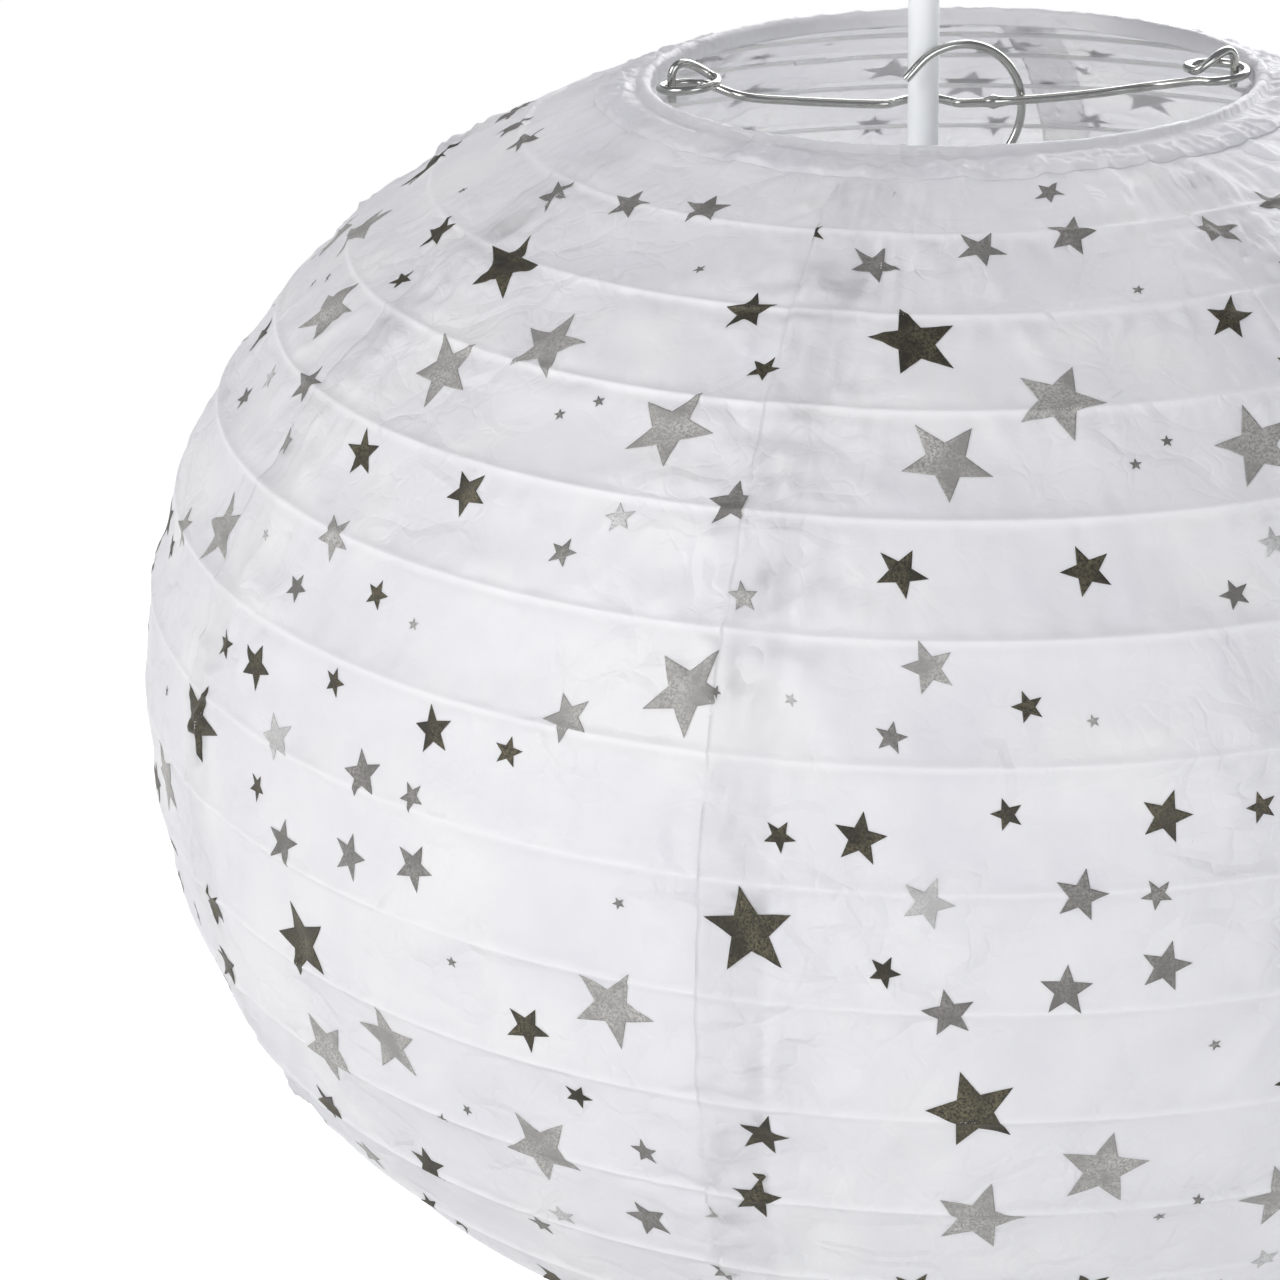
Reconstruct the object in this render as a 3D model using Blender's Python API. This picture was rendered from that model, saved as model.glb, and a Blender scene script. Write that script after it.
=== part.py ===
"""Round paper lantern shade on a wire frame, hung on a white cord from a ceiling rose.

Metres, +Z up. The origin is where the ceiling plate meets the ceiling, on the cord's axis.
The shade is eight paper gores over sixteen wire ribs. It folds up flat under its top ring.
"""

import math

import bmesh
import bpy
import numpy as np
from mathutils import Vector

# Shade outline: a superellipse turned about the shade's axis and cut off at its two rings.
SHADE_RADIUS = 0.175
POLE_HEIGHT = 0.779 * SHADE_RADIUS  # half height of the outline before it is cut
FULLNESS = 2.15  # 2 would be an ellipse
RIM_RADIUS = 0.063  # wire centre of the top and bottom rings
SHADE_X = 0.0055  # the shade hangs a little to one side of the cord
EQUATOR_Z = -0.200  # the shade's middle, under the ceiling

# Paper and ribs.
GORES = 8
FIRST_SEAM = math.radians(-12)  # measured from the front, towards +X
RIBS = 16
RIB_PITCH = 0.0211  # along the paper
FACETS = 32  # around the shade
PAPER = 0.0006
HEM_WIDTH = 0.0096  # the paper turned over each ring, along the paper
GAP = 0.0003
RIB_WIRE = 0.0006  # radii
FRAME_WIRE = 0.0009

# Wire frame. Heights here are from the shade's middle, and lengths from its axis.
BAR_Z = 0.129  # at its right loop
BAR_DIP = 0.0042  # of the top bar's middle, under its ends
BAR_LEAN = 0.021  # of the top bar, down towards its left loop
LOOP_RADIUS = 0.006
LOOP_REACH = 0.0539  # loop centre
NOTCH_DEPTH = 0.0061
NOTCH_HALF_WIDTH = 0.008
HOOK_RADIUS = 0.014
HOOK_CENTRE = Vector((0.0018, -0.0021, 0.1223))
HOOK_TURN = math.radians(22)  # the hook's plane, from the bar's
LEG_X = 0.026
LEG_Y = -0.0023

# Lamp holder, cord and ceiling rose, turned about the cord's axis.
CORD_RADIUS = 0.0032
HOLDER_TOP = 0.1043  # from the shade's middle
HOLDER_RADIUS = 0.019
HOLDER_GRIP = 0.0077
ROSE_RADIUS = 0.037
ROSE_DEPTH = 0.034
ROSE_GRIP = 0.008
PLATE = 0.003


def clear_scene():
    for item in list(bpy.data.objects):
        bpy.data.objects.remove(item, do_unlink=True)


def material(name, colour, roughness, metallic=0.0):
    made = bpy.data.materials.new(name)
    made.use_nodes = True
    shader = made.node_tree.nodes["Principled BSDF"]
    shader.inputs["Base Color"].default_value = (*colour, 1)
    shader.inputs["Roughness"].default_value = roughness
    shader.inputs["Metallic"].default_value = metallic
    return made


def finish_object(name, mesh_data, finish, place=(0, 0, 0)):
    """Adds a bmesh as a named object, with its faces turned out and its round sides smooth."""
    bmesh.ops.recalc_face_normals(mesh_data, faces=mesh_data.faces)
    if mesh_data.calc_volume(signed=True) < 0:
        bmesh.ops.reverse_faces(mesh_data, faces=mesh_data.faces)
    mesh = bpy.data.meshes.new(name)
    mesh_data.to_mesh(mesh)
    mesh_data.free()
    mesh.shade_smooth()
    mesh.set_sharp_from_angle(angle=math.radians(40))
    mesh.materials.append(finish)
    made = bpy.data.objects.new(name, mesh)
    made.location = place
    bpy.context.collection.objects.link(made)
    return made


# ---- outline -------------------------------------------------------------------------------


def outline():
    """Radius, height and distance along the paper from the middle, from the pole to the middle."""
    t = np.linspace(math.pi / 2, 0, 4001)
    radius = SHADE_RADIUS * np.cos(t) ** (2 / FULLNESS)
    height = POLE_HEIGHT * np.sin(t) ** (2 / FULLNESS)
    step = np.hypot(np.diff(radius), np.diff(height))
    along = np.concatenate([np.cumsum(step[::-1])[::-1], [0]])
    return radius, height, along


OUTLINE_R, OUTLINE_Z, OUTLINE_S = outline()
RIM_Z = float(np.interp(RIM_RADIUS, OUTLINE_R, OUTLINE_Z))
RIM_S = float(np.interp(RIM_RADIUS, OUTLINE_R, OUTLINE_S))


def on_outline(along, inwards=0.0):
    """(radius, height) of a point this far along the paper above the middle, moved inwards by its normal."""
    distance = abs(along)
    side = 1 if along >= 0 else -1
    order = slice(None, None, -1)
    nearby = [
        np.array(
            (
                np.interp(d, OUTLINE_S[order], OUTLINE_R[order]),
                np.interp(d, OUTLINE_S[order], OUTLINE_Z[order]),
            )
        )
        for d in (max(distance - 1e-4, 0), distance, distance + 1e-4)
    ]
    tangent = nearby[2] - nearby[0]
    tangent /= np.linalg.norm(tangent)
    radius, height = nearby[1] - inwards * np.array((tangent[1], -tangent[0]))
    return float(radius), float(side * height)


def rib_place(number):
    """(radius, height) of the centre of a rib's wire. Rib 1 is the highest."""
    along = ((RIBS + 1) / 2 - number) * RIB_PITCH
    return on_outline(along, PAPER + GAP + RIB_WIRE)


def around(radius, angle, height):
    """A point of the shade, at this angle from the front towards +X."""
    return Vector((radius * math.sin(angle), -radius * math.cos(angle), height))


# ---- shape helpers --------------------------------------------------------------------------


def turned(profile, segments):
    """A closed profile of (radius, height) corners turned about Z. Corners at radius 0 close on the axis."""
    shape = bmesh.new()
    columns = []
    poles = {}
    for i in range(segments):
        angle = FIRST_SEAM + 2 * math.pi * i / segments
        column = []
        for j, (radius, height) in enumerate(profile):
            if radius > 0:
                column.append(shape.verts.new(around(radius, angle, height)))
            else:
                if j not in poles:
                    poles[j] = shape.verts.new((0, 0, height))
                column.append(poles[j])
        columns.append(column)
    for i, column in enumerate(columns):
        following = columns[(i + 1) % segments]
        for j in range(len(profile)):
            k = (j + 1) % len(profile)
            corners = [column[j], following[j], following[k], column[k]]
            corners = [v for n, v in enumerate(corners) if v not in corners[:n]]
            if len(corners) > 2:
                shape.faces.new(corners)
    return shape


def wire_ring(name, radius, height, wire, finish, sides):
    """A round wire ring, with its centre line's corners on the given radius."""
    shape_profile = [
        (
            radius + wire * math.cos(2 * math.pi * i / sides),
            height + wire * math.sin(2 * math.pi * i / sides),
        )
        for i in range(sides)
    ]
    return finish_object(name, turned(shape_profile, FACETS), finish, (SHADE_X, 0, EQUATOR_Z))


def smooth_path(points, steps):
    """Catmull-Rom curve through the points."""
    ends = [2 * points[0] - points[1], *points, 2 * points[-1] - points[-2]]
    made = []
    for a, b, c, d in zip(ends, ends[1:], ends[2:], ends[3:]):
        for i in range(steps):
            t = i / steps
            made.append(
                0.5
                * (
                    2 * b
                    + (c - a) * t
                    + (2 * a - 5 * b + 4 * c - d) * t**2
                    + (3 * b - a - 3 * c + d) * t**3
                )
            )
    made.append(points[-1])
    return made


def bent_wire(name, path, wire, finish, sides=6):
    """A wire along a path, with flat ends. The section is carried along without twisting."""
    shape = bmesh.new()
    normal = None
    loops = []
    for i, centre in enumerate(path):
        ahead = (path[min(i + 1, len(path) - 1)] - path[max(i - 1, 0)]).normalized()
        if normal is None:
            normal = ahead.orthogonal().normalized()
        normal = (normal - ahead * normal.dot(ahead)).normalized()
        other = ahead.cross(normal)
        loops.append(
            [
                shape.verts.new(
                    centre
                    + wire * math.cos(2 * math.pi * k / sides) * normal
                    + wire * math.sin(2 * math.pi * k / sides) * other
                )
                for k in range(sides)
            ]
        )
    for low, high in zip(loops, loops[1:]):
        for k in range(sides):
            n = (k + 1) % sides
            shape.faces.new((low[k], low[n], high[n], high[k]))
    shape.faces.new(loops[0][::-1])
    shape.faces.new(loops[-1])
    return finish_object(name, shape, finish, (SHADE_X, 0, EQUATOR_Z))


def box(name, low, high, finish):
    shape = bmesh.new()
    bmesh.ops.create_cube(shape, size=1)
    size = Vector(high) - Vector(low)
    middle = (Vector(high) + Vector(low)) / 2
    for vertex in shape.verts:
        vertex.co = Vector([c * s for c, s in zip(vertex.co, size)]) + middle
    return finish_object(name, shape, finish)


# ---- shade ---------------------------------------------------------------------------------


def paper_rows():
    """Distances along the paper of a gore's rows: its two ends, and each rib."""
    end = RIM_S - 2 * FRAME_WIRE
    ribs = [((RIBS + 1) / 2 - n) * RIB_PITCH for n in range(1, RIBS + 1)]
    return [end, *ribs, -end]


def paper_gore(number, finish):
    """One gore: a strip of paper from ring to ring, its outer face on the outline."""
    shape = bmesh.new()
    start = FIRST_SEAM + 2 * math.pi * (number - 1) / GORES
    columns = FACETS // GORES
    rows = []
    for along in paper_rows():
        outer = on_outline(along)
        inner = on_outline(along, PAPER)
        row = []
        for radius, height in (outer, inner):
            edge = GAP / 2 / radius
            line = []
            for i in range(columns + 1):
                angle = start + 2 * math.pi / GORES * i / columns
                angle += edge if i == 0 else -edge if i == columns else 0
                line.append(shape.verts.new(around(radius, angle, height)))
            row.append(line)
        rows.append(row)
    for (outer, inner), (outer_next, inner_next) in zip(rows, rows[1:]):
        for i in range(columns):
            shape.faces.new((outer[i], outer[i + 1], outer_next[i + 1], outer_next[i]))
            shape.faces.new((inner[i], inner[i + 1], inner_next[i + 1], inner_next[i]))
        for i in (0, columns):
            shape.faces.new((outer[i], inner[i], inner_next[i], outer_next[i]))
    for outer, inner in (rows[0], rows[-1]):
        for i in range(columns):
            shape.faces.new((outer[i], outer[i + 1], inner[i + 1], inner[i]))
    return finish_object(f"paper_gore_{number}", shape, finish, (SHADE_X, 0, EQUATOR_Z))


def paper_hem(name, side, finish):
    """The strip of paper folded over a ring and glued down outside. Side is 1 at the top, -1 below."""
    near = FRAME_WIRE + GAP
    fold = [math.radians(degrees) for degrees in (66, 104, 142, 180)]

    def over_the_wire(clear):
        return [
            (RIM_RADIUS + clear * math.cos(a), RIM_Z + clear * math.sin(a)) for a in fold
        ]

    section = [
        on_outline(RIM_S - HEM_WIDTH, -GAP),
        *over_the_wire(near),
        (RIM_RADIUS - near, RIM_Z - near),
        (RIM_RADIUS - near - PAPER, RIM_Z - near),
        *over_the_wire(near + PAPER)[::-1],
        on_outline(RIM_S - HEM_WIDTH, -GAP - PAPER),
    ]
    section = [(radius, side * height) for radius, height in section]
    return finish_object(name, turned(section, FACETS), finish, (SHADE_X, 0, EQUATOR_Z))


# ---- wire frame ----------------------------------------------------------------------------


def bar_end(z_sign):
    """The end of a bar at +X: one turn of a flat loop, then an arch with its tip down through the loop."""
    rise = 0.0022
    points = []
    first = math.radians(225)
    for i in range(13):
        angle = first + 2 * math.pi * i / 12
        points.append(
            Vector(
                (
                    LOOP_REACH + LOOP_RADIUS * math.cos(angle),
                    LOOP_RADIUS * math.sin(angle),
                    rise * i / 12,
                )
            )
        )
    points.append(Vector((LOOP_REACH - 0.0018, -0.0040, rise + 0.0016)))
    points.append(Vector((LOOP_REACH + 0.0004, -0.0026, rise + 0.0029)))
    points.append(Vector((LOOP_REACH + 0.0022, -0.0008, rise + 0.0031)))
    points.append(Vector((LOOP_REACH + 0.0034, 0, rise + 0.0016)))
    points.append(Vector((LOOP_REACH + 0.0036, 0, rise - 0.0015)))
    points.append(Vector((LOOP_REACH + 0.0035, 0, rise - 0.0045)))
    return [Vector((p.x, p.y, z_sign * (BAR_Z + p.z))) for p in points]


def half_turn(points):
    return [Vector((-p.x, -p.y, p.z)) for p in points]


def dipped(x, y=0.0):
    """A point of the top bar, whose middle is drawn down between its ends."""
    return Vector((x, y, BAR_Z - BAR_DIP * (1 - (x / LOOP_REACH) ** 2)))


def notch(centre_x):
    """The bar's bend round the back of the cord."""
    points = []
    for i in range(9):
        share = i / 4 - 1
        depth = NOTCH_DEPTH * math.cos(math.pi / 2 * share) ** 1.4 if abs(share) < 1 else 0
        points.append(dipped(centre_x + NOTCH_HALF_WIDTH * share, depth))
    return points


def top_bar_path():
    right = bar_end(1)
    left = half_turn(right)[::-1]
    before = [dipped(x) for x in (-0.042, -0.030, -0.020)]
    after = [dipped(x) for x in (0.010, 0.020, 0.031, 0.042)]
    level = [*left, *before, *notch(-SHADE_X), *after, *right]
    leaning = [Vector((p.x, p.y, p.z + BAR_LEAN * (p.x - LOOP_REACH))) for p in level]
    return smooth_path(leaning, 2)


def bottom_bar_path():
    right = bar_end(-1)
    left = half_turn(right)[::-1]
    middle = [Vector((x, 0, -BAR_Z)) for x in (-0.025, 0, 0.025)]
    return smooth_path([*left, *middle, *right], 2)


def hook_and_leg_path():
    """From the hook's free end over the cord, round behind the bar, down to the lamp holder's shoulder,
    out past it, and down to the bottom bar."""
    sideways = Vector((math.cos(HOOK_TURN), math.sin(HOOK_TURN), 0))
    up = Vector((0, 0, 1))
    points = [HOOK_CENTRE - 0.0117 * sideways + 0.0079 * up]
    for degrees in range(121, -51, -19):
        angle = math.radians(degrees)
        points.append(HOOK_CENTRE + HOOK_RADIUS * (math.cos(angle) * sideways + math.sin(angle) * up))
    shoulder = HOLDER_TOP + GAP + FRAME_WIRE
    points.append(Vector((0.0076, 0.0002, shoulder + 0.0036)))
    points.append(Vector((0.0070, -0.0006, shoulder + 0.0018)))
    points.append(Vector((0.0083, -0.0013, shoulder + 0.0003)))
    points.append(Vector((0.0115, -0.0017, shoulder)))
    points.append(Vector((LEG_X - 0.006, -0.0020, shoulder)))
    points.append(Vector((LEG_X - 0.0012, LEG_Y, shoulder - 0.0018)))
    points.append(Vector((LEG_X, LEG_Y, shoulder - 0.007)))
    for share in (0.25, 0.5, 0.75, 1):
        low = -BAR_Z - FRAME_WIRE
        points.append(Vector((LEG_X, LEG_Y, (shoulder - 0.007) * (1 - share) + low * share)))
    return smooth_path(points, 2)


# ---- lamp holder, cord and ceiling rose ------------------------------------------------------


def on_cord(name, profile, finish, segments=24, base=EQUATOR_Z):
    """A piece turned about the cord's axis. Heights are from base."""
    shape = turned(profile, segments)
    return finish_object(name, shape, finish, (0, 0, base))


def lamp_holder(white, grey, brass):
    top = HOLDER_TOP
    radius = HOLDER_RADIUS
    bore = CORD_RADIUS + GAP
    on_cord(
        "holder_cord_grip",
        [(0, top + GAP), (0.0065, top + GAP), (0.0065, top + 0.004), (0.0052, top + HOLDER_GRIP),
         (0, top + HOLDER_GRIP)],
        white,
    )
    on_cord(
        "holder_cap",
        [(bore, top), (radius - 0.003, top), (radius, top - 0.004), (radius, top - 0.018),
         (radius - 0.002, top - 0.018), (radius - 0.002, top - 0.004), (bore, top - 0.003)],
        white,
    )
    seat = top - 0.018 - GAP
    on_cord(
        "holder_skirt",
        [(radius, seat), (radius, seat - 0.034), (radius - 0.002, seat - 0.034),
         (radius - 0.002, seat)],
        white,
    )
    on_cord(
        "holder_contact_block",
        [(0, top - 0.006), (radius - 0.0025, top - 0.006), (radius - 0.0025, top - 0.015),
         (0, top - 0.015)],
        grey,
    )
    on_cord(
        "holder_screw_shell",
        [(0.0150, top - 0.0155), (0.0150, top - 0.044), (0.0140, top - 0.044),
         (0.0140, top - 0.0155)],
        brass,
    )


def cord(finish):
    """The straight stretch of cord between the lamp holder's grip and the rose's grip."""
    low = EQUATOR_Z + HOLDER_TOP + HOLDER_GRIP + GAP
    high = -ROSE_DEPTH - ROSE_GRIP - GAP
    count = 16
    curve = bpy.data.curves.new("cord", "CURVE")
    curve.dimensions = "3D"
    curve.bevel_depth = CORD_RADIUS
    curve.bevel_resolution = 3
    curve.use_fill_caps = True
    line = curve.splines.new("POLY")
    line.points.add(count - 1)
    for i, point in enumerate(line.points):
        point.co = (0, 0, low + (high - low) * i / (count - 1), 1)
    curve.materials.append(finish)
    made = bpy.data.objects.new("cord", curve)
    bpy.context.collection.objects.link(made)


def ceiling_rose(white, grey, steel):
    wall = 0.0015
    bore = CORD_RADIUS + GAP
    on_cord(
        "rose_cord_grip",
        [(0, -ROSE_DEPTH - GAP), (0.0070, -ROSE_DEPTH - GAP), (0.0070, -ROSE_DEPTH - 0.004),
         (0.0055, -ROSE_DEPTH - ROSE_GRIP), (0, -ROSE_DEPTH - ROSE_GRIP)],
        white, base=0,
    )
    outer = [(bore, -ROSE_DEPTH), (0.010, -ROSE_DEPTH), (0.021, -ROSE_DEPTH + 0.004),
             (0.031, -ROSE_DEPTH + 0.012), (ROSE_RADIUS, -ROSE_DEPTH + 0.024),
             (ROSE_RADIUS, -GAP)]
    inner = [(ROSE_RADIUS - wall, -GAP), (ROSE_RADIUS - wall, -ROSE_DEPTH + 0.0245),
             (0.0298, -ROSE_DEPTH + 0.0133), (0.0204, -ROSE_DEPTH + 0.0057),
             (0.010, -ROSE_DEPTH + wall), (bore, -ROSE_DEPTH + wall)]
    on_cord("rose_cover", [*outer, *inner], white, base=0)
    on_cord(
        "ceiling_plate",
        [(0, 0), (ROSE_RADIUS - wall - GAP, 0), (ROSE_RADIUS - wall - GAP, -PLATE), (0, -PLATE)],
        grey, base=0,
    )
    box("terminal_block", (-0.010, -0.006, -PLATE - GAP - 0.009), (0.010, 0.006, -PLATE - GAP), grey)
    for number, x in ((1, -0.022), (2, 0.022)):
        head = turned(
            [(0, -PLATE - GAP), (0.0036, -PLATE - GAP), (0.0028, -PLATE - 0.0022),
             (0, -PLATE - 0.0026)], 12,
        )
        finish_object(f"plate_screw_{number}", head, steel, (x, 0, 0))


def main():
    clear_scene()
    paper = material("paper", (0.86, 0.86, 0.89), 0.75)
    rib_white = material("rib_wire", (0.83, 0.83, 0.82), 0.5)
    steel = material("frame_wire", (0.66, 0.67, 0.62), 0.22, 1.0)
    cord_white = material("cord_sheath", (0.88, 0.90, 0.91), 0.4)
    white = material("white_moulding", (0.85, 0.85, 0.84), 0.35)
    grey = material("terminal_moulding", (0.78, 0.78, 0.76), 0.5)
    brass = material("screw_shell", (0.75, 0.62, 0.36), 0.3, 1.0)

    for number in range(1, GORES + 1):
        paper_gore(number, paper)
    paper_hem("top_hem", 1, paper)
    paper_hem("bottom_hem", -1, paper)
    for number in range(1, RIBS + 1):
        radius, height = rib_place(number)
        wire_ring(f"rib_{number}", radius, height, RIB_WIRE, rib_white, 4)
    wire_ring("top_ring", RIM_RADIUS, RIM_Z, FRAME_WIRE, steel, 6)
    wire_ring("bottom_ring", RIM_RADIUS, -RIM_Z, FRAME_WIRE, steel, 6)
    bent_wire("top_bar", top_bar_path(), FRAME_WIRE, steel)
    bent_wire("bottom_bar", bottom_bar_path(), FRAME_WIRE, steel)
    bent_wire("hook_and_leg", hook_and_leg_path(), FRAME_WIRE, steel)
    lamp_holder(white, grey, brass)
    cord(cord_white)
    ceiling_rose(white, grey, steel)


main()
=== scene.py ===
"""Paper lantern shade with foil stars, on a wire frame under a ceiling rose, built round its CAD frame.

Metres, +Z up. The shade's paper, hems and wires, the lamp holder, the cord and the rose are
detailed pieces that stand for their CAD nodes and ride on the same bodies.
"""

import itertools
import math

import bmesh
import bpy
import numpy as np
from mathutils import Matrix, Vector


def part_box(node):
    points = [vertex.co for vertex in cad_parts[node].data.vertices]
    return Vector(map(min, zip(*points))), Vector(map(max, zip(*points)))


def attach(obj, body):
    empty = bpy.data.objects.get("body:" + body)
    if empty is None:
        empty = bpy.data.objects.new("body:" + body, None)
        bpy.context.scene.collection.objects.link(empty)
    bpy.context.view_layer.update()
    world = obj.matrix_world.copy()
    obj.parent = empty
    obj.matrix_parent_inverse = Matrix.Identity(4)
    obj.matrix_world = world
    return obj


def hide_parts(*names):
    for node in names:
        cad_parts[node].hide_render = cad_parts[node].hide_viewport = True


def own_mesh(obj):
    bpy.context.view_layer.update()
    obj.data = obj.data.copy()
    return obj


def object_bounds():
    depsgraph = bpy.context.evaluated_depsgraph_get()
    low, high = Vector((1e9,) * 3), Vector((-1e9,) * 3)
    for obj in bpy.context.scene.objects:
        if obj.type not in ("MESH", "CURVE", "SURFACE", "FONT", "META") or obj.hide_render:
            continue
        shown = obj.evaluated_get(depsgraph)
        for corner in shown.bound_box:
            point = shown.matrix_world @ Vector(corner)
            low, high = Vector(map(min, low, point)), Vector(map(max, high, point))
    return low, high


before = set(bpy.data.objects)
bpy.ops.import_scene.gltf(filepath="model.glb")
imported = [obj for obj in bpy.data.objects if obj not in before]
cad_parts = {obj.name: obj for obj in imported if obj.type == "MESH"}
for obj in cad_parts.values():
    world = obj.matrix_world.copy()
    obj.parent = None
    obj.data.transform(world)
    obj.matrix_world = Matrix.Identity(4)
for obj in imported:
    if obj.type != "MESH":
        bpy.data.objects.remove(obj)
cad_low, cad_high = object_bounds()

# Places and sizes read from the frame.
RING_LOW, RING_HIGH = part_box("top_ring")
LOWER_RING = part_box("bottom_ring")
CORD_LOW, CORD_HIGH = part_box("cord")
SHADE_X = (RING_LOW.x + RING_HIGH.x) / 2
EQUATOR_Z = (RING_LOW.z + RING_HIGH.z + LOWER_RING[0].z + LOWER_RING[1].z) / 4
RIM_Z = (RING_LOW.z + RING_HIGH.z) / 2 - EQUATOR_Z

# Shade outline, as it was drawn for the frame.
SHADE_RADIUS = 0.175
POLE_HEIGHT = 0.779 * SHADE_RADIUS
FULLNESS = 2.15
GORES = 8
FIRST_SEAM = math.radians(-12)  # from the front, towards +X
RIBS = 16
RIB_PITCH = 0.0211
HEM_WIDTH = 0.0096

# Paper and foil.
PAPER = 0.00015
OVERLAP = 0.012  # of one gore on the next
LIFT = 0.00042  # of a gore's upper edge strip over its neighbour
TUCK = 0.00045  # of its other edge strip, under the next gore
SAG = 0.00095  # of the paper inwards between two ribs
FOIL = 0.00004
FOIL_PROUD = 0.00011  # of a star's face over the paper

# The height of each kind of crease, then how far those at a seam, a rib and its wire reach.
SWELL = 0.0007
FOLDS = 0.00050
SMALL_FOLDS = 0.00015
UPRIGHT_FOLDS = 0.00055
UPRIGHT_RIPPLE = 0.00045
SEAM_CRUMPLE = 0.0012
LONG_CREASE = 0.0007
PUCKER = 0.00042
WIRE_RIDGE = 0.00040
FAN_CREASE = 0.0009
SEAM_REACH = 0.017
PUCKER_REACH = 0.006
WIRE_REACH = 0.0008

# Wires.
FRAME_WIRE = 0.0009
RIB_WIRE = 0.0006
BAR_Z = 0.129
BAR_DIP = 0.0042
BAR_LEAN = 0.021
LOOP_RADIUS = 0.006
LOOP_REACH = 0.0539
NOTCH_DEPTH = 0.0061
NOTCH_HALF_WIDTH = 0.008
HOOK_RADIUS = 0.014
HOOK_CENTRE = Vector((0.0018, -0.0021, 0.1223))
HOOK_TURN = math.radians(22)
LEG_X = 0.026
LEG_Y = -0.0023
CLEARANCE = 0.0003

# Camera.
CAMERA_PLACE = Vector((SHADE_X - 0.0023, -0.6125, EQUATOR_Z + 0.2688))
CAMERA_LENS = 84.1
CAMERA_TURN = math.radians(-6.1)
CAMERA_TILT = math.radians(-23.39)
CAMERA_ROLL = math.radians(-1.83)


# ---- camera ----


def make_camera():
    data = bpy.data.cameras.new("camera")
    data.lens = CAMERA_LENS
    camera = bpy.data.objects.new("camera", data)
    bpy.context.scene.collection.objects.link(camera)
    forward = Vector(
        (
            math.sin(CAMERA_TURN) * math.cos(CAMERA_TILT),
            math.cos(CAMERA_TURN) * math.cos(CAMERA_TILT),
            math.sin(CAMERA_TILT),
        )
    )
    level = Vector((math.cos(CAMERA_TURN), -math.sin(CAMERA_TURN), 0))
    upright = level.cross(forward)
    right = math.cos(CAMERA_ROLL) * level + math.sin(CAMERA_ROLL) * upright
    up = math.cos(CAMERA_ROLL) * upright - math.sin(CAMERA_ROLL) * level
    turned = Matrix((right, up, -forward)).transposed().to_4x4()
    camera.matrix_world = Matrix.Translation(CAMERA_PLACE) @ turned
    bpy.context.scene.camera = camera


# ---- materials ----


class Finish:
    """A material's node tree, with short calls for the nodes that the finishes share."""

    def __init__(self, name):
        self.material = bpy.data.materials.new(name)
        self.material.use_nodes = True
        self.tree = self.material.node_tree
        self.shader = self.tree.nodes["Principled BSDF"]
        self.output = self.tree.nodes["Material Output"]
        self.place = self.node("ShaderNodeTexCoord").outputs["Object"]

    def node(self, kind, **settings):
        made = self.tree.nodes.new(kind)
        for key, value in settings.items():
            setattr(made, key, value)
        return made

    def feed(self, socket, value):
        if isinstance(value, bpy.types.NodeSocket):
            self.tree.links.new(value, socket)
        else:
            socket.default_value = value

    def stretched(self, place, stretch):
        mapping = self.node("ShaderNodeMapping")
        self.feed(mapping.inputs["Vector"], place)
        mapping.inputs["Scale"].default_value = stretch
        return mapping.outputs["Vector"]

    def noise(self, scale, detail=3.0, rough=0.5, stretch=(1, 1, 1)):
        made = self.node("ShaderNodeTexNoise")
        self.feed(made.inputs["Vector"], self.stretched(self.place, stretch))
        made.inputs["Scale"].default_value = scale
        made.inputs["Detail"].default_value = detail
        made.inputs["Roughness"].default_value = rough
        return made.outputs["Fac"]

    def facets(self, scale, stretch):
        """Facets that meet in creases: how far it is to the nearest edge of bent cells, up to 1."""
        bend = self.node("ShaderNodeTexNoise")
        self.feed(bend.inputs["Vector"], self.place)
        bend.inputs["Scale"].default_value = scale * 0.6
        mixed = self.node("ShaderNodeMix", data_type="VECTOR")
        self.feed(mixed.inputs["Factor"], 0.02)
        self.feed(mixed.inputs["A"], self.place)
        self.feed(mixed.inputs["B"], bend.outputs["Color"])
        cells = self.node("ShaderNodeTexVoronoi", feature="DISTANCE_TO_EDGE")
        self.feed(cells.inputs["Vector"], self.stretched(mixed.outputs["Result"], stretch))
        cells.inputs["Scale"].default_value = scale
        return self.spread(cells.outputs["Distance"], 0, 0.16, 0, 1)

    def maths(self, operation, first, second=0.0):
        made = self.node("ShaderNodeMath", operation=operation)
        self.feed(made.inputs[0], first)
        self.feed(made.inputs[1], second)
        return made.outputs[0]

    def spread(self, value, low, high, to_low, to_high):
        made = self.node("ShaderNodeMapRange")
        self.feed(made.inputs["Value"], value)
        limits = (low, high, to_low, to_high)
        for key, limit in zip(("From Min", "From Max", "To Min", "To Max"), limits):
            made.inputs[key].default_value = limit
        return made.outputs["Result"]

    def colours(self, share, first, second):
        made = self.node("ShaderNodeMix", data_type="RGBA")
        self.feed(made.inputs["Factor"], share)
        for socket, colour in ((made.inputs["A"], first), (made.inputs["B"], second)):
            self.feed(socket, colour if isinstance(colour, bpy.types.NodeSocket) else (*colour, 1))
        return made.outputs["Result"]

    def bump(self, height, distance, strength=1.0, below=None):
        made = self.node("ShaderNodeBump")
        self.feed(made.inputs["Height"], height)
        made.inputs["Distance"].default_value = distance
        made.inputs["Strength"].default_value = strength
        if below is not None:
            self.feed(made.inputs["Normal"], below)
        return made.outputs["Normal"]

    def set(self, **inputs):
        for key, value in inputs.items():
            self.feed(self.shader.inputs[key.replace("_", " ").title()], value)
        return self.material


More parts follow.
